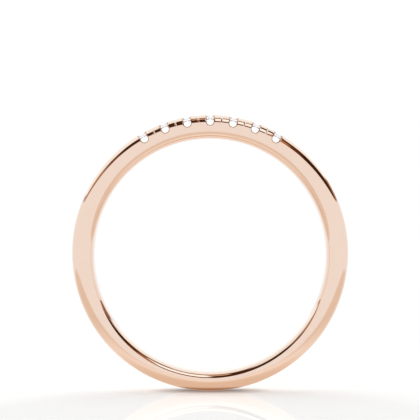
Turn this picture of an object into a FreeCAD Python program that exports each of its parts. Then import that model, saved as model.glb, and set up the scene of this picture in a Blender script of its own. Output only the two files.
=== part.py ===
import FreeCAD, Part

import math
import os

# Wedding band with seven round brilliants, millimetres.
# Origin: centre of the finger bore.  Y: bore axis.  Z: up, towards the middle stone.

# Band
BORE_RADIUS = 8.675
BAND_WIDTH = 2.0
OUTER_RADIUS = 10.28
OUTER_CENTRE_Z = 0.17
BORE_EDGE_RADIUS = 0.58
CORNER_RADIUS = 0.78
DOME_RISE = 0.04

# Row of stones, each on a line through the centre of the outer circle
STONE_COUNT = 7
STONE_PITCH_DEG = 10.0
MIDDLE_STONE_DEG = 90.0

# Round brilliant
STONE_RADIUS = 0.50
GIRDLE_HEIGHT = 0.03
TABLE_RATIO = 0.57
STAR_RATIO = 0.52
LOWER_HALF_RATIO = 0.77
CROWN_DEG = 34.5
PAVILION_DEG = 40.75
MAIN_FACETS = 8
GIRDLE_LEVEL = 10.08

# Slot across the band at each stone
SLOT_HALF_WIDTH = 0.27
SLOT_FLOOR_LEVEL = 9.44
SLOT_EDGE_RADIUS = 0.07

# Engraved V groove over the crown, between the claws of neighbouring stones
GROOVE_HALF_WIDTH = 0.06
GROOVE_DEPTH = 0.045
GROOVE_OVERRUN = 0.03
GROOVE_END_DEG = 14.0

# Seat for each stone, with a blind drilled pocket for its point
SEAT_CLEARANCE = 0.012
CLAW_LIP = 0.04
POCKET_RADIUS = 0.27
POCKET_FLOOR_LEVEL = 9.40

# Length a cutter runs past the metal
OVERRUN = 0.5

PARTS_DIR = "parts"
X_AXIS = FreeCAD.Vector(1, 0, 0)
Y_AXIS = FreeCAD.Vector(0, 1, 0)
Z_AXIS = FreeCAD.Vector(0, 0, 1)
OUTER_CENTRE = FreeCAD.Vector(0, 0, OUTER_CENTRE_Z)
FULL_TURN_DEG = 360.0
HALF_TURN_DEG = 180.0
QUARTER_TURN_DEG = 90.0
FLATNESS = 1e-6


def vec(x, y, z):
    return FreeCAD.Vector(x, y, z)


def arc_through(centre_a, centre_b, radius, start_deg, end_deg, plane_point):
    """Arc about (centre_a, centre_b) in a 2-D section, placed in space by plane_point."""
    middle_deg = (start_deg + end_deg) / 2
    points = []
    for angle_deg in (start_deg, middle_deg, end_deg):
        angle = math.radians(angle_deg)
        points.append(plane_point(centre_a + radius * math.cos(angle), centre_b + radius * math.sin(angle)))
    return Part.Arc(*points).toShape()


def dome_radius():
    """Radius of the crown arc that meets both corner arcs and rises DOME_RISE above them."""
    half_flat = BAND_WIDTH / 2 - CORNER_RADIUS
    low = half_flat + CORNER_RADIUS
    high = BAND_WIDTH * BAND_WIDTH / DOME_RISE
    for _ in range(60):
        radius = (low + high) / 2
        lean = math.asin(half_flat / (radius - CORNER_RADIUS))
        rise = radius * (1 - math.cos(lean))
        if rise > DOME_RISE:
            low = radius
        else:
            high = radius
    return radius


def crown_solid():
    """Everything inside the outer surface: flat sides, rounded corners and a low domed crown."""
    half = BAND_WIDTH / 2
    arcs = crown_arcs()
    corner_centre = arcs[0][1]

    def place(across, out):
        return vec(0, across, level(out))

    edges = [Part.makeLine(place(half, 0), place(half, corner_centre))]
    edges += [arc_through(*section_arc, place) for section_arc in arcs]
    edges.append(Part.makeLine(place(-half, corner_centre), place(-half, 0)))
    edges.append(Part.makeLine(place(-half, 0), place(half, 0)))
    face = Part.Face(Part.Wire(edges))
    return face.revolve(OUTER_CENTRE, Y_AXIS, FULL_TURN_DEG)


def bore_solid():
    """Finger bore: a straight wall with a rounded edge at each side of the band."""
    half = BAND_WIDTH / 2
    mouth = half + OVERRUN
    edge_centre = half - BORE_EDGE_RADIUS
    mouth_radius = BORE_RADIUS + BORE_EDGE_RADIUS

    def place(across, out):
        return vec(0, across, out)

    edges = [
        Part.makeLine(place(-mouth, 0), place(-mouth, mouth_radius)),
        Part.makeLine(place(-mouth, mouth_radius), place(-half, mouth_radius)),
        arc_through(-edge_centre, mouth_radius, BORE_EDGE_RADIUS,
                    HALF_TURN_DEG, HALF_TURN_DEG + QUARTER_TURN_DEG, place),
        Part.makeLine(place(-edge_centre, BORE_RADIUS), place(edge_centre, BORE_RADIUS)),
        arc_through(edge_centre, mouth_radius, BORE_EDGE_RADIUS,
                    HALF_TURN_DEG + QUARTER_TURN_DEG, FULL_TURN_DEG, place),
        Part.makeLine(place(half, mouth_radius), place(mouth, mouth_radius)),
        Part.makeLine(place(mouth, mouth_radius), place(mouth, 0)),
        Part.makeLine(place(mouth, 0), place(-mouth, 0)),
    ]
    face = Part.Face(Part.Wire(edges))
    return face.revolve(vec(0, 0, 0), Y_AXIS, FULL_TURN_DEG)


def around_band(shape, position_deg):
    """Turn a shape modelled at the top of the outer circle to its place along the row."""
    turned = shape.copy()
    turned.rotate(OUTER_CENTRE, Y_AXIS, MIDDLE_STONE_DEG - position_deg)
    return turned


def stone_positions():
    first = MIDDLE_STONE_DEG + STONE_PITCH_DEG * (STONE_COUNT - 1) / 2
    return [first - STONE_PITCH_DEG * index for index in range(STONE_COUNT)]


def groove_positions():
    stones = stone_positions()
    return [(left + right) / 2 for left, right in zip(stones, stones[1:])]


def level(height):
    """Z of a point at a given distance from the centre of the outer circle, at the top."""
    return OUTER_CENTRE_Z + height


def crown_arcs():
    """Arcs of the crown section as (centre across, centre out, radius, start, end), in degrees."""
    radius = dome_radius()
    half_flat = BAND_WIDTH / 2 - CORNER_RADIUS
    lean = math.asin(half_flat / (radius - CORNER_RADIUS))
    lean_deg = math.degrees(lean)
    dome_centre = OUTER_RADIUS - radius
    corner_centre = dome_centre + (radius - CORNER_RADIUS) * math.cos(lean)
    dome_start_deg = QUARTER_TURN_DEG - lean_deg
    dome_end_deg = QUARTER_TURN_DEG + lean_deg
    return [
        (half_flat, corner_centre, CORNER_RADIUS, 0, dome_start_deg),
        (0, dome_centre, radius, dome_start_deg, dome_end_deg),
        (-half_flat, corner_centre, CORNER_RADIUS, dome_end_deg, HALF_TURN_DEG),
    ]


def slot_cutter():
    """U-shaped channel across the band."""
    half_length = BAND_WIDTH / 2 + OVERRUN
    floor_centre = level(SLOT_FLOOR_LEVEL + SLOT_HALF_WIDTH)
    top = level(OUTER_RADIUS + OVERRUN)

    def place(across, up):
        return vec(across, -half_length, up)

    edges = [
        arc_through(0, floor_centre, SLOT_HALF_WIDTH,
                    HALF_TURN_DEG, FULL_TURN_DEG, place),
        Part.makeLine(place(SLOT_HALF_WIDTH, floor_centre), place(SLOT_HALF_WIDTH, top)),
        Part.makeLine(place(SLOT_HALF_WIDTH, top), place(-SLOT_HALF_WIDTH, top)),
        Part.makeLine(place(-SLOT_HALF_WIDTH, top), place(-SLOT_HALF_WIDTH, floor_centre)),
    ]
    face = Part.Face(Part.Wire(edges))
    return face.extrude(Y_AXIS * (2 * half_length))


def is_slot_wall(face):
    """True for the flat walls and the round floors that the slots leave in the band."""
    surface = face.Surface
    if isinstance(surface, Part.Plane):
        return abs(surface.Axis.y) < FLATNESS
    return isinstance(surface, Part.Cylinder) and surface.Radius < BORE_RADIUS / 2


def slot_edges(body):
    """Every edge where a slot breaks out of the band: both sides and the crown."""
    owners = {}
    for face in body.Faces:
        for edge in face.Edges:
            owners.setdefault(edge.hashCode(), []).append((edge, is_slot_wall(face)))
    return [pair[0][0] for pair in owners.values() if len(pair) == 2 and pair[0][1] != pair[1][1]]


def groove_cutters():
    """V groove that follows the crown and stops short of the flat sides of the band."""
    flare = (GROOVE_DEPTH + GROOVE_OVERRUN) / GROOVE_DEPTH
    half_width = GROOVE_HALF_WIDTH * flare
    pieces = []
    for across, out, radius, start_deg, end_deg in crown_arcs():
        first_deg = max(start_deg, GROOVE_END_DEG)
        last_deg = min(end_deg, HALF_TURN_DEG - GROOVE_END_DEG)
        centre = vec(0, across, level(out))
        tip = radius - GROOVE_DEPTH
        rim = radius + GROOVE_OVERRUN
        outline = [
            centre + vec(0, tip, 0),
            centre + vec(half_width, rim, 0),
            centre + vec(-half_width, rim, 0),
            centre + vec(0, tip, 0),
        ]
        face = Part.Face(Part.makePolygon(outline))
        face.rotate(centre, X_AXIS, first_deg)
        pieces.append(face.revolve(centre, X_AXIS, last_deg - first_deg))
    return pieces


def seat_cutter():
    """Turned pocket for one stone: a cone under its pavilion and a lip over its girdle."""
    seat_radius = STONE_RADIUS + SEAT_CLEARANCE
    seat_top = level(GIRDLE_LEVEL + SEAT_CLEARANCE)
    seat_bottom = level(GIRDLE_LEVEL - GIRDLE_HEIGHT - SEAT_CLEARANCE)
    opening = seat_radius - CLAW_LIP
    lip_rise = CLAW_LIP * math.tan(math.radians(CROWN_DEG))
    cone_depth = (seat_radius - POCKET_RADIUS) * math.tan(math.radians(PAVILION_DEG))
    floor = level(POCKET_FLOOR_LEVEL)
    top = level(OUTER_RADIUS + OVERRUN)
    outline = [
        vec(0, 0, floor),
        vec(POCKET_RADIUS, 0, floor),
        vec(POCKET_RADIUS, 0, seat_bottom - cone_depth),
        vec(seat_radius, 0, seat_bottom),
        vec(seat_radius, 0, seat_top),
        vec(opening, 0, seat_top + lip_rise),
        vec(opening, 0, top),
        vec(0, 0, top),
        vec(0, 0, floor),
    ]
    face = Part.Face(Part.makePolygon(outline))
    return face.revolve(vec(0, 0, 0), Z_AXIS, FULL_TURN_DEG)


def band():
    """One casting: shank, claws, slots, grooves and seats."""
    body = crown_solid().cut(bore_solid())
    body = body.cut([around_band(slot_cutter(), position) for position in stone_positions()])
    body = body.makeFillet(SLOT_EDGE_RADIUS, slot_edges(body))
    cutters = [around_band(seat_cutter(), position) for position in stone_positions()]
    for position in groove_positions():
        cutters += [around_band(piece, position) for piece in groove_cutters()]
    return body.cut(cutters).Solids[0]


def ring_point(radius, angle_deg, up):
    angle = math.radians(angle_deg)
    return vec(radius * math.cos(angle), radius * math.sin(angle), up)


def flat_face(points):
    return Part.Face(Part.makePolygon(points + points[:1]))


def brilliant():
    """Faceted stone standing on its axis, girdle top at the height where it sits."""
    girdle_top = level(GIRDLE_LEVEL)
    girdle_bottom = girdle_top - GIRDLE_HEIGHT
    crown_slope = math.tan(math.radians(CROWN_DEG))
    pavilion_slope = math.tan(math.radians(PAVILION_DEG))
    step = FULL_TURN_DEG / MAIN_FACETS
    half_step = step / 2
    inset = math.cos(math.radians(half_step))
    table_radius = STONE_RADIUS * TABLE_RATIO
    table_mid = table_radius * inset
    star_radius = table_mid + STAR_RATIO * (STONE_RADIUS - table_mid)
    lower_radius = STONE_RADIUS * (1 - LOWER_HALF_RATIO)
    table_up = girdle_top + (STONE_RADIUS - table_radius) * crown_slope
    star_up = girdle_top + (STONE_RADIUS - star_radius * inset) * crown_slope
    lower_up = girdle_bottom - (STONE_RADIUS - lower_radius * inset) * pavilion_slope
    culet = vec(0, 0, girdle_bottom - STONE_RADIUS * pavilion_slope)

    table = [ring_point(table_radius, step * index, table_up) for index in range(MAIN_FACETS)]
    faces = [flat_face(table)]
    for index in range(MAIN_FACETS):
        main = step * index
        before = main - half_step
        after = main + half_step
        table_here = ring_point(table_radius, main, table_up)
        table_next = ring_point(table_radius, main + step, table_up)
        star_before = ring_point(star_radius, before, star_up)
        star_after = ring_point(star_radius, after, star_up)
        top_here = ring_point(STONE_RADIUS, main, girdle_top)
        low_here = ring_point(STONE_RADIUS, main, girdle_bottom)
        half_before = ring_point(lower_radius, before, lower_up)
        half_after = ring_point(lower_radius, after, lower_up)
        faces.append(flat_face([table_here, star_before, top_here, star_after]))
        faces.append(flat_face([table_here, star_after, table_next]))
        faces.append(flat_face([culet, half_after, low_here, half_before]))
        for side, star, lower in ((before, star_before, half_before), (after, star_after, half_after)):
            top_side = ring_point(STONE_RADIUS, side, girdle_top)
            low_side = ring_point(STONE_RADIUS, side, girdle_bottom)
            faces.append(flat_face([star, top_here, top_side]))
            faces.append(flat_face([top_here, low_here, low_side, top_side]))
            faces.append(flat_face([low_here, lower, low_side]))
    stone = Part.makeSolid(Part.makeShell(faces))
    if stone.Volume < 0:
        stone.reverse()
    return stone


def main():
    os.makedirs(PARTS_DIR, exist_ok=True)
    band().exportStep(os.path.join(PARTS_DIR, "band.step"))
    for number, position in enumerate(stone_positions(), start=1):
        stone = around_band(brilliant(), position)
        stone.exportStep(os.path.join(PARTS_DIR, f"diamond_{number}.step"))


main()
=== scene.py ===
import math

import bmesh
import bpy
from mathutils import Matrix, Vector


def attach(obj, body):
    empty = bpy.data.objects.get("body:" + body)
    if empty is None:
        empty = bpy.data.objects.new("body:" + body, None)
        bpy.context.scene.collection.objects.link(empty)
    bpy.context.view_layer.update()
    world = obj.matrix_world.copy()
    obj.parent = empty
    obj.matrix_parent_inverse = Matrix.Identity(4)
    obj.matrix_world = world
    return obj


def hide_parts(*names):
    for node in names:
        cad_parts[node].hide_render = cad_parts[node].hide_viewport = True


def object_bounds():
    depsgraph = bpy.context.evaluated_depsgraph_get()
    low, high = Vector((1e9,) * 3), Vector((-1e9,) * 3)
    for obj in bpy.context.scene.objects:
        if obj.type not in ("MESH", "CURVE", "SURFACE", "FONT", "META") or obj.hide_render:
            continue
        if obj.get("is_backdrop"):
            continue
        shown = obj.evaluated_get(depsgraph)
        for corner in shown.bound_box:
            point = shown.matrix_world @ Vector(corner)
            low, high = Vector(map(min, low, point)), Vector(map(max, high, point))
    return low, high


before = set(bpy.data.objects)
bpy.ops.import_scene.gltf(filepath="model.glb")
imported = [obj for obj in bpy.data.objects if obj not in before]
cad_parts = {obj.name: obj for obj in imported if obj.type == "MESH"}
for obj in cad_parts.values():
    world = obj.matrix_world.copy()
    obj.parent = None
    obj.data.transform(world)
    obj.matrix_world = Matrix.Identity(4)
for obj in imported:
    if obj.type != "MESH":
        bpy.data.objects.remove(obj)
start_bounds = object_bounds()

# Sizes in millimetres, turned into metres when a mesh is finished.
MM = 0.001

BORE_RADIUS = 8.675
BAND_WIDTH = 2.0
OUTER_RADIUS = 10.28
OUTER_CENTRE_Z = 0.17
BORE_EDGE_RADIUS = 0.58
CORNER_RADIUS = 0.78
DOME_RISE = 0.04

STONE_COUNT = 7
STONE_PITCH = math.radians(10.0)
STONE_RADIUS = 0.50
GIRDLE_HEIGHT = 0.03
TABLE_RATIO = 0.57
STAR_RATIO = 0.52
LOWER_HALF_RATIO = 0.77
CROWN_SLOPE = math.tan(math.radians(34.5))
PAVILION_SLOPE = math.tan(math.radians(40.75))
MAIN_FACETS = 8
GIRDLE_LEVEL = 10.08

SLOT_HALF_WIDTH = 0.27
SLOT_FLOOR_LEVEL = 9.44
SLOT_EDGE_RADIUS = 0.07
GROOVE_HALF_WIDTH = 0.06
GROOVE_DEPTH = 0.045
GROOVE_OVERRUN = 0.03
GROOVE_END = math.radians(14.0)
SEAT_CLEARANCE = 0.012
CLAW_LIP = 0.04
POCKET_RADIUS = 0.27
POCKET_FLOOR_LEVEL = 9.40
OVERRUN = 0.5

# Steps and small margins used when the meshes are made.
ANGLE_STEPS = 900
ANGLE_OFFSET = 0.5
CORNER_STEPS = 16
DOME_STEPS = 10
DOME_SEARCH_STEPS = 60
ARC_STEPS = 24
SEAT_STEPS = 96
ROUND_STEPS = 6
RIM_MARGIN = 0.35
SUPPORT = 0.012
SHARP_ANGLE = math.radians(28.0)

RING_BOTTOM = OUTER_CENTRE_Z - OUTER_RADIUS

BLACK = (0.0, 0.0, 0.0, 1)
WHITE = (1.0, 1.0, 1.0, 1)

# Polished rose gold: two close tones and fine scuffs. The slot rims and slots are painted browner as a
# painted dark reflection and shade, and the crevices browner still as painted shade.
GOLD_DEEP = (0.865, 0.675, 0.565, 1)
GOLD_PALE = (0.880, 0.695, 0.585, 1)
GOLD_TONE_SCALE = 900.0
GOLD_TONE_DETAIL = 3.0
GOLD_TONE_SPAN = (0.3, 0.7)
SCUFF_SCALE = 5000.0
SCUFF_DETAIL = 6.0
SCUFF_SPAN = (0.3, 0.75)
GOLD_ROUGHNESS = (0.035, 0.065)
EDGE_SOFTNESS = 0.03
EDGE_SAMPLES = 8
OPENNESS_SAMPLES = 16
RIM_SHADE_GAIN = 3.0
RIM_PAINTED_SHADE = (0.54, 0.24, 0.10, 1)
CREVICE_SHADE_REACH = 0.5
CREVICE_SHADE_SPAN = (0.25, 0.85)
CREVICE_PAINTED_SHADE = (0.36, 0.16, 0.07, 1)

# Diamond, with a faint painted glow so that stones this small stay bright.
DIAMOND_IOR = 1.75
DIAMOND_ROUGHNESS = 0.01
DIAMOND_GLOW = 0.07
DIAMOND_GLOW_TONE = (0.93, 0.96, 1.0, 1)
DIAMOND_COOL = (0.93, 0.95, 1.0, 1)
DIAMOND_CLOUD_SCALE = 1500.0
DIAMOND_CLOUD_DETAIL = 2.0

# The ceiling is laid out in run over rise: across is positive to the right, forward is negative
# toward the front. Outlines are: middle and half width across, start and reach forward, roundness.
WALL_OUTLINE = (-0.02, 2.58, 0.5, 2.15, 1.5)
PANEL_OUTLINE = (-0.335, 1.94, 0.8, 1.20, 1.6)
WALL_EDGE = (0.96, 1.06)
PANEL_EDGE = (0.93, 1.10)
HORIZON = (0.0, 0.02)
# A dent in an outline: fade in and fade out across, and how deep it is.
WALL_DENT = ((-1.35, -0.85), (-0.37, 0.13), 0.11)
PANEL_DENT = ((-0.95, -0.75), (-0.40, -0.20), 0.12)
# A dark tongue that cuts into the front of the panel: fade in and out across, fade out backward.
TONGUE = ((-0.48, -0.32), (0.54, 0.70), (-0.14, -0.04))

PANEL_LIGHT = (1.08, 1.16, 1.19, 1)
GAP_TAN = (0.45, 0.25, 0.13, 1)
GAP_RUST = (0.36, 0.14, 0.055, 1)
GAP_BROWN = (0.20, 0.08, 0.03, 1)
GAP_UMBER = (0.07, 0.022, 0.006, 1)
GAP_AMBER = (0.22, 0.06, 0.012, 1)
GAP_CHESTNUT = (0.15, 0.045, 0.012, 1)
GAP_BRIGHT = (1.25, 1.32, 1.32, 1)
GAP_SAND = (0.80, 0.55, 0.35, 1)
GAP_BLACK = (0.05, 0.015, 0.003, 1)
GAP_ORANGE = (0.50, 0.21, 0.09, 1)
SPOT_TONE = (0.06, 0.02, 0.006, 1)
FRONT = (0.2, 1.0)
# Tones laid one over another in the gap between panel and walls. Each has a fade in and a fade out
# across, then a fade in and a fade out from the front toward the back; None leaves a side open.
GAP_TONES = (
    (GAP_TAN, None, (-1.5, -0.8), None, (0.2, 3.0)),
    (GAP_RUST, (0.9, 1.2), None, None, (0.8, 4.0)),
    (GAP_BROWN, (-1.50, -1.10), (-0.95, -0.55), None, FRONT),
    (GAP_UMBER, (-1.03, -0.87), (-0.03, 0.13), None, FRONT),
    (GAP_AMBER, (-0.19, -0.15), (0.38, 0.42), None, FRONT),
    (GAP_CHESTNUT, (0.32, 0.40), (1.06, 1.14), None, FRONT),
    (GAP_UMBER, (-0.32, -0.28), (-0.02, 0.02), None, (-0.60, -0.48)),
    (GAP_BRIGHT, (-0.04, 0.04), (0.58, 0.66), (-1.05, -0.95), (-0.35, -0.25)),
    (GAP_SAND, (-0.20, -0.14), (-0.01, 0.05), (-0.55, -0.45), (-0.33, -0.23)),
    (GAP_BLACK, (0.60, 0.72), (1.04, 1.16), (-0.50, -0.40), None),
    (GAP_BLACK, (0.90, 1.06), (2.32, 2.48), None, FRONT),
    (GAP_ORANGE, (0.47, 0.57), (0.71, 0.81), None, (-0.62, -0.50)),
)
# A small dark spot on the ceiling, with the same four fades.
SPOT = ((0.31, 0.41), (0.61, 0.71), (-0.32, -0.20), (0.06, 0.18))

# What reflections find below the horizon, in run over fall: peach underneath, white far out.
BELOW_SQUEEZE = 0.65
BELOW_WHITE = (3.8, 5.4)
BELOW_BACK = (0.1, 0.6)
BELOW_HORIZON = (-0.01, 0.0)
FLOOR_MIRROR_VIEW = (0.34, 0.34, 0.34, 1)
LEAST_RISE = 0.001

# The floor, in millimetres. Its pool is painted grey, a painted shade with a weaker glow, and mirrors the
# ring.
FLOOR_RADIUS = 75.0
FLOOR_STEPS = 128
FLOOR_WHITE = (0.97, 0.965, 0.96, 1)
FLOOR_LIFT = 0.25
FLOOR_FADE = (26.0, 48.0)
POOL_CENTRE_Y = -19.0
POOL_RADIUS = 19.4
POOL_SOFT = 2.4
POOL_PAINTED_SHADE = (0.845, 0.84, 0.83, 1)
POOL_SHADE_LIFT = 0.19
FLOOR_GLOSS = (0.26, 0.26, 0.26, 1)
CONTACT_SHADOW_REACH = 0.95
CONTACT_SHADOW_DEPTH = 0.5
# The sheen that the polished metal picks up from the floor, from the contact line outward; the darker tone
# next to the contact line is a painted contact shadow as the metal sees it.
SHEEN_CONTACT_SHADOW = (0.86, 0.68, 0.54, 1)
SHEEN_NEAR = (1.03, 0.95, 0.875, 1)
SHEEN_RIM = (0.87, 0.74, 0.63, 1)
SHEEN_BACK = (0.96, 0.88, 0.80, 1)
SHEEN_NEAR_SPAN = (10.2, 11.5)
SHEEN_RIM_SPAN = (12.0, 24.0)
SHEEN_WHITE_SPAN = (40.0, 46.0)
SHEEN_SQUEEZE = (0.5, 1.0, 1.0)

# Camera, in millimetres. The view's width and middle are given in the plane of the ring.
CAMERA_DISTANCE = 76.0
CAMERA_HEIGHT = 1.48
SENSOR_WIDTH = 36.0
VIEW_WIDTH = 31.343
VIEW_MIDDLE_X = -0.012
VIEW_MIDDLE_Z = 3.353
CLIP_NEAR = 0.001
CLIP_FAR = 10.0


# ---------------------------------------------------------------- meshes

def arc(centre, radius, start, end, steps):
    """Points along an arc in a section plane, both ends included."""
    out = []
    for index in range(steps + 1):
        angle = start + (end - start) * index / steps
        out.append((centre[0] + radius * math.cos(angle), centre[1] + radius * math.sin(angle)))
    return out


def dome_shape():
    """Radius of the crown arc and its lean where it meets the corner arcs."""
    half_flat = BAND_WIDTH / 2 - CORNER_RADIUS
    low = half_flat + CORNER_RADIUS
    high = BAND_WIDTH * BAND_WIDTH / DOME_RISE
    for _ in range(DOME_SEARCH_STEPS):
        radius = (low + high) / 2
        lean = math.asin(half_flat / (radius - CORNER_RADIUS))
        if radius * (1 - math.cos(lean)) > DOME_RISE:
            low = radius
        else:
            high = radius
    return radius, lean


def crown_arcs():
    """Arcs of the crown section as (centre across, centre out, radius, start, end)."""
    right = math.pi / 2
    radius, lean = dome_shape()
    half_flat = BAND_WIDTH / 2 - CORNER_RADIUS
    dome_centre = OUTER_RADIUS - radius
    corner_centre = dome_centre + (radius - CORNER_RADIUS) * math.cos(lean)
    return [
        (half_flat, corner_centre, CORNER_RADIUS, 0, right - lean),
        (0, dome_centre, radius, right - lean, right + lean),
        (-half_flat, corner_centre, CORNER_RADIUS, right + lean, 2 * right),
    ]


def crown_path(trim=0.0):
    """Crown section as (across, out, normal angle), from one flat side to the other."""
    path = []
    for across, out, radius, start, end in crown_arcs():
        start = max(start, trim)
        end = min(end, math.pi - trim)
        steps = DOME_STEPS if across == 0 else CORNER_STEPS
        for index in range(steps + 1):
            angle = start + (end - start) * index / steps
            if path and index == 0:
                continue
            path.append((across + radius * math.cos(angle), out + radius * math.sin(angle), angle))
    return path


def band_section():
    """Closed section of the band as (across, out, centre height), bore first, then round the outside."""
    half = BAND_WIDTH / 2
    edge = half - BORE_EDGE_RADIUS
    bore_centre = BORE_RADIUS + BORE_EDGE_RADIUS
    right = math.pi / 2
    crown = [(across, out) for across, out, angle in crown_path()]
    corner_centre = crown[0][1]

    inner = [(-edge + SUPPORT, BORE_RADIUS), (edge - SUPPORT, BORE_RADIUS)]
    inner += arc((edge, bore_centre), BORE_EDGE_RADIUS, -right, 0, CORNER_STEPS)
    inner.append((half, bore_centre + SUPPORT))
    outer = [(half, corner_centre - SUPPORT)] + crown + [(-half, corner_centre - SUPPORT)]
    last = [(-half, bore_centre + SUPPORT)]
    last += arc((-edge, bore_centre), BORE_EDGE_RADIUS, 2 * right, 3 * right, CORNER_STEPS)
    section = [(y, r, 0.0) for y, r in inner]
    section += [(y, r, OUTER_CENTRE_Z) for y, r in outer]
    section += [(y, r, 0.0) for y, r in last]
    return section


def mesh_object(name, verts, faces, scale=1.0):
    mesh = bpy.data.meshes.new(name)
    mesh.from_pydata([tuple(c * scale for c in v) for v in verts], [], faces)
    mesh.update()
    bm = bmesh.new()
    bm.from_mesh(mesh)
    bmesh.ops.recalc_face_normals(bm, faces=bm.faces)
    bm.to_mesh(mesh)
    bm.free()
    obj = bpy.data.objects.new(name, mesh)
    bpy.context.scene.collection.objects.link(obj)
    return obj


def plain_band():
    """The band before its slots are cut."""
    section = band_section()
    count = len(section)
    verts = []
    for step in range(ANGLE_STEPS):
        angle = 2 * math.pi * (step + ANGLE_OFFSET) / ANGLE_STEPS
        for across, out, lift in section:
            verts.append((out * math.cos(angle), across, out * math.sin(angle) + lift))
    faces = []
    for step in range(ANGLE_STEPS):
        here = step * count
        there = ((step + 1) % ANGLE_STEPS) * count
        for index in range(count):
            after = (index + 1) % count
            faces.append((here + index, here + after, there + after, there + index))
    return mesh_object("band_blank", verts, faces)


def level(height):
    return OUTER_CENTRE_Z + height


def row_matrix(angle):
    """Turns a shape modelled at the top of the outer circle to its place along the row."""
    centre = Vector((0, 0, OUTER_CENTRE_Z))
    turn = Matrix.Rotation(math.pi / 2 - angle, 4, "Y")
    return Matrix.Translation(centre) @ turn @ Matrix.Translation(-centre)


def stone_angles():
    first = math.pi / 2 + STONE_PITCH * (STONE_COUNT - 1) / 2
    return [first - STONE_PITCH * index for index in range(STONE_COUNT)]


def groove_angles():
    angles = stone_angles()
    return [(a + b) / 2 for a, b in zip(angles, angles[1:])]


def slot_outline():
    right = math.pi / 2
    floor_centre = level(SLOT_FLOOR_LEVEL + SLOT_HALF_WIDTH)
    top = level(OUTER_RADIUS + OVERRUN)
    outline = arc((0, floor_centre), SLOT_HALF_WIDTH, 2 * right, 4 * right, ARC_STEPS)
    outline += [(SLOT_HALF_WIDTH, top), (-SLOT_HALF_WIDTH, top)]
    return outline


def skin_at(reach):
    """Half width of the band and its normal angle, at a distance from the outer circle's centre."""
    half_flat, corner_centre = crown_arcs()[0][:2]
    if reach <= corner_centre:
        return BAND_WIDTH / 2, 0.0
    angle = math.asin((reach - corner_centre) / CORNER_RADIUS)
    return half_flat + CORNER_RADIUS * math.cos(angle), angle


def slot_rim():
    """Closed loop where a slot breaks out of the band, as (point, wall direction, surface normal).

    The wall direction points along the band's surface, away from the slot.
    """
    floor_centre = SLOT_FLOOR_LEVEL + SLOT_HALF_WIDTH
    rim = []

    def add(x, across, height, away, angle):
        reach = math.hypot(x, height)
        out = math.sin(angle) / reach
        normal = Vector((x * out, math.cos(angle), height * out))
        away = (away - normal * away.dot(normal)).normalized()
        rim.append((Vector((x, across, level(height))), away, normal))

    def floor(side, start, end):
        for index in range(ARC_STEPS + 1):
            turn = start + (end - start) * index / ARC_STEPS
            away = Vector((math.cos(turn), 0, math.sin(turn)))
            x = away.x * SLOT_HALF_WIDTH
            height = floor_centre + away.z * SLOT_HALF_WIDTH
            half, angle = skin_at(math.hypot(x, height))
            add(x, side * half, height, away, angle if side > 0 else math.pi - angle)

    def across_crown(x, path):
        for across, out, angle in path:
            height = math.sqrt(out * out - x * x)
            if height > floor_centre + SUPPORT:
                add(x, across, height, Vector((math.copysign(1, x), 0, 0)), angle)

    crown = crown_path()
    floor(1, math.pi, 2 * math.pi)
    across_crown(SLOT_HALF_WIDTH, crown)
    floor(-1, 2 * math.pi, math.pi)
    across_crown(-SLOT_HALF_WIDTH, list(reversed(crown)))
    return rim


def rim_rounder(matrix, verts, faces):
    """Adds a closed ring that leaves a quarter-round along a slot's rim when it is cut away."""
    radius = SLOT_EDGE_RADIUS
    start = len(verts)
    profile = arc((1.0, -1.0), 1.0, math.pi / 2, math.pi, ROUND_STEPS)
    profile.append((-RIM_MARGIN, -1.0))
    profile.append((-RIM_MARGIN, RIM_MARGIN))
    profile.append((1.0, RIM_MARGIN))
    rim = slot_rim()
    count = len(profile)
    for point, away, normal in rim:
        verts.extend(matrix @ (point + away * a * radius + normal * n * radius) for a, n in profile)
    total = len(rim)
    for step in range(total):
        here = start + step * count
        there = start + ((step + 1) % total) * count
        for index in range(count):
            after = (index + 1) % count
            faces.append((here + index, there + index, there + after, here + after))


def groove_prism(matrix, verts, faces):
    """Adds a V-shaped strip that follows the crown and stops short of the flat sides."""
    start = len(verts)
    half_width = GROOVE_HALF_WIDTH * (GROOVE_DEPTH + GROOVE_OVERRUN) / GROOVE_DEPTH
    side = Vector((half_width, 0, 0))
    path = crown_path(GROOVE_END)
    for across, out, angle in path:
        point = Vector((0, across, level(out)))
        normal = Vector((0, math.cos(angle), math.sin(angle)))
        top = point + normal * GROOVE_OVERRUN
        corners = [point - normal * GROOVE_DEPTH, top + side, top - side]
        verts.extend(matrix @ corner for corner in corners)
    count = len(corners)
    for step in range(len(path) - 1):
        here = start + step * count
        there = here + count
        for index in range(count):
            after = (index + 1) % count
            faces.append((here + index, there + index, there + after, here + after))
    last = start + (len(path) - 1) * count
    faces.append(tuple(start + index for index in range(count)))
    faces.append(tuple(last + index for index in reversed(range(count))))


def prism(outline, half_length, matrix, verts, faces):
    """Adds an outline in X and Z, stretched along Y, to a growing mesh."""
    start = len(verts)
    count = len(outline)
    for across in (-half_length, half_length):
        verts.extend(matrix @ Vector((x, across, z)) for x, z in outline)
    faces.append(tuple(start + index for index in range(count)))
    faces.append(tuple(start + count + index for index in reversed(range(count))))
    for index in range(count):
        after = (index + 1) % count
        faces.append((start + index, start + count + index, start + count + after, start + after))


def seat_outline():
    seat_radius = STONE_RADIUS + SEAT_CLEARANCE
    seat_top = level(GIRDLE_LEVEL + SEAT_CLEARANCE)
    seat_bottom = level(GIRDLE_LEVEL - GIRDLE_HEIGHT - SEAT_CLEARANCE)
    opening = seat_radius - CLAW_LIP
    return [
        (POCKET_RADIUS, level(POCKET_FLOOR_LEVEL)),
        (POCKET_RADIUS, seat_bottom - (seat_radius - POCKET_RADIUS) * PAVILION_SLOPE),
        (seat_radius, seat_bottom),
        (seat_radius, seat_top),
        (opening, seat_top + CLAW_LIP * CROWN_SLOPE),
        (opening, level(OUTER_RADIUS + OVERRUN)),
    ]


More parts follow.
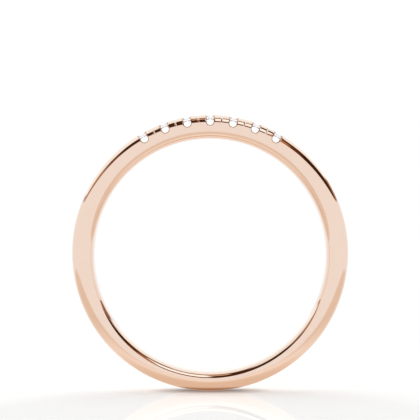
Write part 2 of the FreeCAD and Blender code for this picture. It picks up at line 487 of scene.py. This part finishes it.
def turned(outline, matrix, verts, faces):
    """Adds a solid of revolution about Z, closed by flat ends, to a growing mesh."""
    start = len(verts)
    count = len(outline)
    for step in range(SEAT_STEPS):
        angle = 2 * math.pi * step / SEAT_STEPS
        for radius, up in outline:
            verts.append(matrix @ Vector((radius * math.cos(angle), radius * math.sin(angle), up)))
    for step in range(SEAT_STEPS):
        here = start + step * count
        there = start + ((step + 1) % SEAT_STEPS) * count
        for index in range(count - 1):
            faces.append((here + index, there + index, there + index + 1, here + index + 1))
    faces.append(tuple(start + step * count for step in reversed(range(SEAT_STEPS))))
    faces.append(tuple(start + step * count + count - 1 for step in range(SEAT_STEPS)))


def cut(obj, cutter):
    modifier = obj.modifiers.new("cut", "BOOLEAN")
    modifier.operation = "DIFFERENCE"
    modifier.solver = "EXACT"
    modifier.object = cutter


def mark_rim_shade(mesh):
    """Per vertex value for a painted dark reflection and shade: 0 on the skin of the band, rising to 1
    over the rounded slot edges and inside the slots.
    """
    shades = mesh.attributes.new("slot_rim", "FLOAT", "POINT")
    turns = stone_angles()
    for vertex, shade in zip(mesh.vertices, shades.data):
        x, z = vertex.co.x / MM, vertex.co.z / MM - OUTER_CENTRE_Z
        radius = math.hypot(x, z)
        if radius < SLOT_FLOOR_LEVEL - RIM_MARGIN:
            continue
        turn = min((math.atan2(z, x) - angle for angle in turns), key=abs)
        aside = abs(radius * math.sin(turn))
        rise = min(radius * math.cos(turn) - SLOT_FLOOR_LEVEL - SLOT_HALF_WIDTH, 0.0)
        outside = (math.hypot(aside, rise) - SLOT_HALF_WIDTH) / SLOT_EDGE_RADIUS
        shade.value = min(max((1.0 - outside) * RIM_SHADE_GAIN, 0.0), 1.0)


def band_piece():
    """The whole casting: shank with slots, grooves and seats cut through the crown."""
    blank = plain_band()
    half_length = BAND_WIDTH / 2 + OVERRUN
    cutters = []
    verts, faces = [], []
    for angle in stone_angles():
        prism(slot_outline(), half_length, row_matrix(angle), verts, faces)
    cutters.append(mesh_object("slot_cutters", verts, faces))
    verts, faces = [], []
    for angle in stone_angles():
        rim_rounder(row_matrix(angle), verts, faces)
    cutters.append(mesh_object("rim_rounders", verts, faces))
    verts, faces = [], []
    for angle in groove_angles():
        groove_prism(row_matrix(angle), verts, faces)
    cutters.append(mesh_object("groove_cutters", verts, faces))
    verts, faces = [], []
    for angle in stone_angles():
        turned(seat_outline(), row_matrix(angle), verts, faces)
    cutters.append(mesh_object("seat_cutters", verts, faces))
    for cutter in cutters:
        cut(blank, cutter)
    graph = bpy.context.evaluated_depsgraph_get()
    mesh = bpy.data.meshes.new_from_object(blank.evaluated_get(graph))
    mesh.name = "band_casting"
    mesh.transform(Matrix.Scale(MM, 4))
    mesh.polygons.foreach_set("use_smooth", [True] * len(mesh.polygons))
    mesh.set_sharp_from_angle(angle=SHARP_ANGLE)
    mark_rim_shade(mesh)
    obj = bpy.data.objects.new("band_casting", mesh)
    bpy.context.scene.collection.objects.link(obj)
    for extra in [blank] + cutters:
        old = extra.data
        bpy.data.objects.remove(extra)
        bpy.data.meshes.remove(old)
    return obj


def ring_point(radius, angle, up):
    return (radius * math.cos(angle), radius * math.sin(angle), up)


def brilliant(name, matrix):
    """One faceted stone: table, stars, crown mains, upper halves, girdle, pavilion mains, lower halves."""
    girdle_top = level(GIRDLE_LEVEL)
    girdle_bottom = girdle_top - GIRDLE_HEIGHT
    step = 2 * math.pi / MAIN_FACETS
    half = step / 2
    inset = math.cos(half)
    table_radius = STONE_RADIUS * TABLE_RATIO
    star_radius = table_radius * inset + STAR_RATIO * (STONE_RADIUS - table_radius * inset)
    lower_radius = STONE_RADIUS * (1 - LOWER_HALF_RATIO)
    table_up = girdle_top + (STONE_RADIUS - table_radius) * CROWN_SLOPE
    star_up = girdle_top + (STONE_RADIUS - star_radius * inset) * CROWN_SLOPE
    lower_up = girdle_bottom - (STONE_RADIUS - lower_radius * inset) * PAVILION_SLOPE
    verts = []
    rings = {}
    layers = (
        ("table", table_radius, table_up, 0), ("star", star_radius, star_up, half),
        ("top", STONE_RADIUS, girdle_top, 0), ("top_half", STONE_RADIUS, girdle_top, half),
        ("low", STONE_RADIUS, girdle_bottom, 0), ("low_half", STONE_RADIUS, girdle_bottom, half),
        ("lower", lower_radius, lower_up, half),
    )
    for key, radius, up, shift in layers:
        rings[key] = [len(verts) + index for index in range(MAIN_FACETS)]
        verts += [ring_point(radius, step * index + shift, up) for index in range(MAIN_FACETS)]
    culet = len(verts)
    verts.append((0, 0, girdle_bottom - STONE_RADIUS * PAVILION_SLOPE))
    faces = [tuple(rings["table"])]
    for index in range(MAIN_FACETS):
        before = (index - 1) % MAIN_FACETS
        after = (index + 1) % MAIN_FACETS
        table, star, top, low = (rings[key] for key in ("table", "star", "top", "low"))
        top_half, low_half, lower = (rings[key] for key in ("top_half", "low_half", "lower"))
        faces.append((table[index], star[before], top[index], star[index]))
        faces.append((table[index], star[index], table[after]))
        faces.append((culet, lower[index], low[index], lower[before]))
        for side in (before, index):
            faces.append((star[side], top[index], top_half[side]))
            faces.append((top[index], low[index], low_half[side], top_half[side]))
            faces.append((low[index], lower[side], low_half[side]))
    placed = [matrix @ Vector(v) for v in verts]
    return mesh_object(name, placed, faces, MM)


# ---------------------------------------------------------------- materials

def new_material(name):
    material = bpy.data.materials.new(name)
    material.use_nodes = True
    tree = material.node_tree
    tree.nodes.clear()
    return material, tree


def ramp(tree, value, first, last, span=(0.0, 1.0)):
    """Colour that runs from first to last while the value crosses the span."""
    node = tree.nodes.new("ShaderNodeValToRGB")
    for element, position, colour in zip(node.color_ramp.elements, span, (first, last)):
        element.position = position
        element.color = colour
    tree.links.new(value, node.inputs["Fac"])
    return node.outputs["Color"]


def noise(tree, scale, detail):
    """Fine cloud pattern fixed to the object."""
    place = tree.nodes.new("ShaderNodeTexCoord")
    cloud = tree.nodes.new("ShaderNodeTexNoise")
    cloud.inputs["Scale"].default_value = scale
    cloud.inputs["Detail"].default_value = detail
    tree.links.new(place.outputs["Object"], cloud.inputs["Vector"])
    return cloud.outputs["Fac"]


def openness(tree, reach):
    """Ambient occlusion within a reach in millimetres: 1 in the open, 0 deep in a corner."""
    node = tree.nodes.new("ShaderNodeAmbientOcclusion")
    node.samples = OPENNESS_SAMPLES
    node.inputs["Distance"].default_value = reach * MM
    return node.outputs["AO"]


def rose_gold():
    material, tree = new_material("rose_gold_polished")
    nodes, links = tree.nodes, tree.links
    maths = Maths(tree)
    output = nodes.new("ShaderNodeOutputMaterial")
    metal = nodes.new("ShaderNodeBsdfPrincipled")
    metal.inputs["Metallic"].default_value = 1.0
    tone = ramp(tree, noise(tree, GOLD_TONE_SCALE, GOLD_TONE_DETAIL), GOLD_DEEP, GOLD_PALE, GOLD_TONE_SPAN)
    # Painted dark reflection and shade: the slot_rim value turns the rounded rims and the inside of the
    # slots browner.
    rim_shade = nodes.new("ShaderNodeAttribute")
    rim_shade.attribute_name = "slot_rim"
    tone = over(tree, tone, rim_shade.outputs["Fac"], RIM_PAINTED_SHADE)
    # Painted shade: ambient occlusion turns the crevices a darker brown.
    tone = over(tree, CREVICE_PAINTED_SHADE, maths.step(openness(tree, CREVICE_SHADE_REACH), *CREVICE_SHADE_SPAN), tone)
    rough = nodes.new("ShaderNodeMapRange")
    rough.inputs["From Min"].default_value = SCUFF_SPAN[0]
    rough.inputs["From Max"].default_value = SCUFF_SPAN[1]
    rough.inputs["To Min"].default_value = GOLD_ROUGHNESS[0]
    rough.inputs["To Max"].default_value = GOLD_ROUGHNESS[1]
    round_edges = nodes.new("ShaderNodeBevel")
    round_edges.samples = EDGE_SAMPLES
    round_edges.inputs["Radius"].default_value = EDGE_SOFTNESS * MM
    links.new(noise(tree, SCUFF_SCALE, SCUFF_DETAIL), rough.inputs["Value"])
    links.new(tone, metal.inputs["Base Color"])
    links.new(rough.outputs["Result"], metal.inputs["Roughness"])
    links.new(round_edges.outputs["Normal"], metal.inputs["Normal"])
    links.new(metal.outputs["BSDF"], output.inputs["Surface"])
    return material


def diamond():
    material, tree = new_material("diamond_clear")
    nodes, links = tree.nodes, tree.links
    output = nodes.new("ShaderNodeOutputMaterial")
    gem = nodes.new("ShaderNodeBsdfPrincipled")
    gem.inputs["Transmission Weight"].default_value = 1.0
    gem.inputs["IOR"].default_value = DIAMOND_IOR
    gem.inputs["Roughness"].default_value = DIAMOND_ROUGHNESS
    # Painted glow: a faint emission keeps the small stones bright.
    gem.inputs["Emission Color"].default_value = DIAMOND_GLOW_TONE
    gem.inputs["Emission Strength"].default_value = DIAMOND_GLOW
    tone = ramp(tree, noise(tree, DIAMOND_CLOUD_SCALE, DIAMOND_CLOUD_DETAIL), DIAMOND_COOL, WHITE)
    links.new(tone, gem.inputs["Base Color"])
    links.new(gem.outputs["BSDF"], output.inputs["Surface"])
    return material


class Maths:
    """Small helper that chains math nodes in one node tree."""

    def __init__(self, tree):
        self.tree = tree

    def op(self, operation, first, second=None, third=None):
        node = self.tree.nodes.new("ShaderNodeMath")
        node.operation = operation
        for index, value in enumerate((first, second, third)):
            if value is None:
                continue
            if isinstance(value, (int, float)):
                node.inputs[index].default_value = value
            else:
                self.tree.links.new(value, node.inputs[index])
        return node.outputs[0]

    def product(self, first, *others):
        total = first
        for other in others:
            total = self.op("MULTIPLY", total, other)
        return total

    def inverse(self, value):
        return self.op("SUBTRACT", 1.0, value)

    def step(self, value, low, high):
        """0 below low, 1 above high, smooth between."""
        node = self.tree.nodes.new("ShaderNodeMapRange")
        node.interpolation_type = "SMOOTHSTEP"
        node.inputs["From Min"].default_value = low
        node.inputs["From Max"].default_value = high
        self.tree.links.new(value, node.inputs["Value"])
        return node.outputs["Result"]

    def band(self, value, rise, fall):
        """1 between a fade in and a fade out; either may be None, which leaves that side open."""
        parts = []
        if rise:
            parts.append(self.step(value, *rise))
        if fall:
            parts.append(self.inverse(self.step(value, *fall)))
        return self.product(*parts)

    def dent(self, value, across, dent):
        """Adds a smooth bump to a value, over a band of the ceiling."""
        rise, fall, depth = dent
        return self.op("MULTIPLY_ADD", self.band(across, rise, fall), depth, value)


def vector_length(tree, vector, scale=(1.0, 1.0, 1.0), shift=(0.0, 0.0, 0.0)):
    """Length of a vector after a shift and a stretch along its axes."""
    moved = tree.nodes.new("ShaderNodeVectorMath")
    moved.operation = "SUBTRACT"
    moved.inputs[1].default_value = shift
    stretched = tree.nodes.new("ShaderNodeVectorMath")
    stretched.operation = "MULTIPLY"
    stretched.inputs[1].default_value = scale
    length = tree.nodes.new("ShaderNodeVectorMath")
    length.operation = "LENGTH"
    tree.links.new(vector, moved.inputs[0])
    tree.links.new(moved.outputs["Vector"], stretched.inputs[0])
    tree.links.new(stretched.outputs["Vector"], length.inputs[0])
    return length.outputs["Value"]


def over(tree, base, mask, colour):
    """Lays one colour over another where the mask is 1; each colour is a constant or a socket."""
    mix = tree.nodes.new("ShaderNodeMix")
    mix.data_type = "RGBA"
    tree.links.new(mask, mix.inputs[0])
    for value, socket in ((base, mix.inputs[6]), (colour, mix.inputs[7])):
        if isinstance(value, tuple):
            socket.default_value = value
        else:
            tree.links.new(value, socket)
    return mix.outputs[2]


def outline_distance(maths, across, forward, outline):
    """Below 1 inside a rounded outline that is open toward the back."""
    middle, half_width, start, reach, power = outline
    aside = maths.op("ABSOLUTE", maths.op("SUBTRACT", across, middle))
    aside = maths.op("POWER", maths.op("DIVIDE", aside, half_width), power)
    ahead = maths.op("MAXIMUM", maths.op("SUBTRACT", start, forward), 0.0)
    ahead = maths.op("POWER", maths.op("DIVIDE", ahead, reach), power)
    return maths.op("ADD", aside, ahead)


def ceiling(tree, maths, x, y, z):
    """White walls, a bright panel overhead and a toned gap all round the panel."""
    rise = maths.op("MAXIMUM", z, LEAST_RISE)
    across = maths.op("DIVIDE", x, rise)
    forward = maths.op("DIVIDE", y, rise)
    above = maths.step(z, *HORIZON)
    wall = maths.dent(outline_distance(maths, across, forward, WALL_OUTLINE), across, WALL_DENT)
    panel = maths.dent(outline_distance(maths, across, forward, PANEL_OUTLINE), across, PANEL_DENT)
    tongue_rise, tongue_fall, tongue_end = TONGUE
    tongue = maths.band(across, tongue_rise, tongue_fall)
    tongue = maths.product(tongue, maths.band(forward, None, tongue_end))
    inside_wall = maths.inverse(maths.step(wall, *WALL_EDGE))
    outside_panel = maths.op("MAXIMUM", maths.step(panel, *PANEL_EDGE), tongue)
    gap = maths.product(inside_wall, outside_panel, above)

    shade = over(tree, WHITE, maths.product(maths.inverse(outside_panel), above), PANEL_LIGHT)
    for tone, left, right, front, back in GAP_TONES:
        mask = maths.product(gap, maths.band(across, left, right), maths.band(forward, front, back))
        shade = over(tree, shade, mask, tone)
    left, right, front, back = SPOT
    spot = maths.product(maths.band(across, left, right), maths.band(forward, front, back))
    return over(tree, shade, spot, SPOT_TONE)


def below_horizon(tree, maths, x, y, z):
    """The far floor as polished metal sees it."""
    fall = maths.op("MAXIMUM", maths.op("MULTIPLY", z, -1.0), LEAST_RISE)
    across = maths.op("DIVIDE", maths.op("MULTIPLY", x, BELOW_SQUEEZE), fall)
    forward = maths.op("DIVIDE", y, fall)
    spread = maths.op("ADD", maths.product(across, across), maths.product(forward, forward))
    shade = over(tree, SHEEN_RIM, maths.step(y, *BELOW_BACK), SHEEN_BACK)
    return over(tree, shade, maths.step(maths.op("SQRT", spread), *BELOW_WHITE), WHITE)


def studio_world():
    """White tent: a bright overhead panel with a dark gap all round it, and white walls."""
    world = bpy.data.worlds.new("studio")
    bpy.context.scene.world = world
    world.use_nodes = True
    tree = world.node_tree
    tree.nodes.clear()
    nodes, links = tree.nodes, tree.links
    maths = Maths(tree)
    output = nodes.new("ShaderNodeOutputWorld")
    background = nodes.new("ShaderNodeBackground")
    place = nodes.new("ShaderNodeTexCoord")
    split = nodes.new("ShaderNodeSeparateXYZ")
    links.new(place.outputs["Generated"], split.inputs["Vector"])
    x, y, z = split.outputs["X"], split.outputs["Y"], split.outputs["Z"]
    rays = nodes.new("ShaderNodeLightPath")
    below = maths.product(maths.inverse(maths.step(z, *BELOW_HORIZON)), rays.outputs["Is Glossy Ray"])
    mirrored = maths.product(rays.outputs["Is Singular Ray"], rays.outputs["Is Reflection Ray"])
    shade = over(tree, ceiling(tree, maths, x, y, z), below, below_horizon(tree, maths, x, y, z))
    shade = over(tree, shade, mirrored, FLOOR_MIRROR_VIEW)
    links.new(shade, background.inputs["Color"])
    links.new(background.outputs["Background"], output.inputs["Surface"])
    return world


def mixed(tree, mask, first, second):
    """Shader that turns from first to second where the mask is 1."""
    mix = tree.nodes.new("ShaderNodeMixShader")
    tree.links.new(mask, mix.inputs["Fac"])
    tree.links.new(first, mix.inputs[1])
    tree.links.new(second, mix.inputs[2])
    return mix.outputs["Shader"]


def added(tree, first, second):
    both = tree.nodes.new("ShaderNodeAddShader")
    tree.links.new(first, both.inputs[0])
    tree.links.new(second, both.inputs[1])
    return both.outputs["Shader"]


def floor_body(tree, maths, place, reach):
    """Pale matt floor with a mirroring pool round the ring, its grey a painted shade, and a soft shade at
    the contact.
    """
    nodes, links = tree.nodes, tree.links
    matt = nodes.new("ShaderNodeBsdfDiffuse")
    gloss = nodes.new("ShaderNodeBsdfGlossy")
    gloss.inputs["Color"].default_value = FLOOR_GLOSS
    gloss.inputs["Roughness"].default_value = 0.0
    lift = nodes.new("ShaderNodeEmission")
    lift.inputs["Color"].default_value = WHITE
    pool_centre = (0.0, POOL_CENTRE_Y * MM, RING_BOTTOM * MM)
    pool_reach = vector_length(tree, place, shift=pool_centre)
    rim_from = (POOL_RADIUS - POOL_SOFT) * MM
    rim_to = (POOL_RADIUS + POOL_SOFT) * MM
    pool = maths.band(pool_reach, None, (rim_from, rim_to))
    far = maths.step(reach, FLOOR_FADE[0] * MM, FLOOR_FADE[1] * MM)
    near = maths.inverse(far)
    # Painted contact shadow: ambient occlusion darkens the floor's colour and its glow next to the ring.
    contact = maths.op("MULTIPLY_ADD", openness(tree, CONTACT_SHADOW_REACH), CONTACT_SHADOW_DEPTH, 1 - CONTACT_SHADOW_DEPTH)

    # Painted shade: the pool is coloured grey and glows less than the rest of the floor.
    colour = over(tree, FLOOR_WHITE, pool, POOL_PAINTED_SHADE)
    colour = over(tree, BLACK, contact, colour)
    links.new(over(tree, colour, far, BLACK), matt.inputs["Color"])
    strength = maths.op("MULTIPLY_ADD", pool, POOL_SHADE_LIFT - FLOOR_LIFT, FLOOR_LIFT)
    strength = maths.op("MULTIPLY_ADD", near, maths.product(contact, strength), far)
    links.new(strength, lift.inputs["Strength"])
    body = added(tree, matt.outputs["BSDF"], lift.outputs["Emission"])
    return mixed(tree, maths.product(pool, near), body, added(tree, body, gloss.outputs["BSDF"]))


def floor_sheen(tree, maths, place, reach):
    """Even glow for reflections in the metal, clear farther out where the world takes over."""
    nodes, links = tree.nodes, tree.links
    oval = vector_length(tree, place, scale=SHEEN_SQUEEZE)
    near = maths.step(oval, SHEEN_NEAR_SPAN[0] * MM, SHEEN_NEAR_SPAN[1] * MM)
    rim = maths.step(reach, SHEEN_RIM_SPAN[0] * MM, SHEEN_RIM_SPAN[1] * MM)
    white = maths.step(oval, SHEEN_WHITE_SPAN[0] * MM, SHEEN_WHITE_SPAN[1] * MM)
    # Painted contact shadow in the reflection: the sheen is darker next to the contact line.
    sheen = over(tree, SHEEN_CONTACT_SHADOW, near, SHEEN_NEAR)
    sheen = over(tree, sheen, rim, SHEEN_RIM)
    glow = nodes.new("ShaderNodeEmission")
    links.new(over(tree, sheen, white, WHITE), glow.inputs["Color"])
    clear = nodes.new("ShaderNodeBsdfTransparent")
    return mixed(tree, maths.op("SUBTRACT", rim, white), glow.outputs["Emission"], clear.outputs["BSDF"])


def floor_material():
    material, tree = new_material("pale_floor")
    nodes, links = tree.nodes, tree.links
    maths = Maths(tree)
    output = nodes.new("ShaderNodeOutputMaterial")
    place = nodes.new("ShaderNodeTexCoord").outputs["Object"]
    reach = vector_length(tree, place)
    rays = nodes.new("ShaderNodeLightPath")
    body = floor_body(tree, maths, place, reach)
    sheen = floor_sheen(tree, maths, place, reach)
    links.new(mixed(tree, rays.outputs["Is Glossy Ray"], body, sheen), output.inputs["Surface"])
    return material


def studio_floor():
    verts = [(0.0, 0.0, RING_BOTTOM)]
    for step in range(FLOOR_STEPS):
        verts.append(ring_point(FLOOR_RADIUS, 2 * math.pi * step / FLOOR_STEPS, RING_BOTTOM))
    faces = [(0, 1 + step, 1 + (step + 1) % FLOOR_STEPS) for step in range(FLOOR_STEPS)]
    obj = mesh_object("studio_floor", verts, faces, MM)
    obj.data.materials.append(floor_material())
    obj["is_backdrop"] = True
    return obj


# ---------------------------------------------------------------- camera

def photo_camera():
    """Level camera in front of the ring; the shift moves the view's middle up the ring."""
    data = bpy.data.cameras.new("photo_camera")
    data.sensor_width = SENSOR_WIDTH
    data.lens = SENSOR_WIDTH * CAMERA_DISTANCE / VIEW_WIDTH
    data.shift_x = VIEW_MIDDLE_X / VIEW_WIDTH
    data.shift_y = (VIEW_MIDDLE_Z - CAMERA_HEIGHT) / VIEW_WIDTH
    data.clip_start = CLIP_NEAR
    data.clip_end = CLIP_FAR
    camera = bpy.data.objects.new("photo_camera", data)
    camera.location = (0, -CAMERA_DISTANCE * MM, CAMERA_HEIGHT * MM)
    camera.rotation_euler = (math.pi / 2, 0, 0)
    bpy.context.scene.collection.objects.link(camera)
    bpy.context.scene.camera = camera
    return camera


# ---------------------------------------------------------------- scene

casting = band_piece()
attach(casting, "root")
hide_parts("band")
casting.data.materials.append(rose_gold())

stone_material = diamond()
for number, angle in enumerate(stone_angles(), start=1):
    stone = brilliant(f"brilliant_{number}", row_matrix(angle))
    stone.data.materials.append(stone_material)
    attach(stone, "root")
    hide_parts(f"diamond_{number}")

studio_floor()
studio_world()
photo_camera()
bpy.context.scene.view_settings.view_transform = "Standard"

end_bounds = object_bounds()


def plain(value):
    if isinstance(value, (list, tuple, Vector)):
        return [plain(v) for v in value]
    return float(value)


{"frame": plain(start_bounds), "scene": plain(end_bounds)}
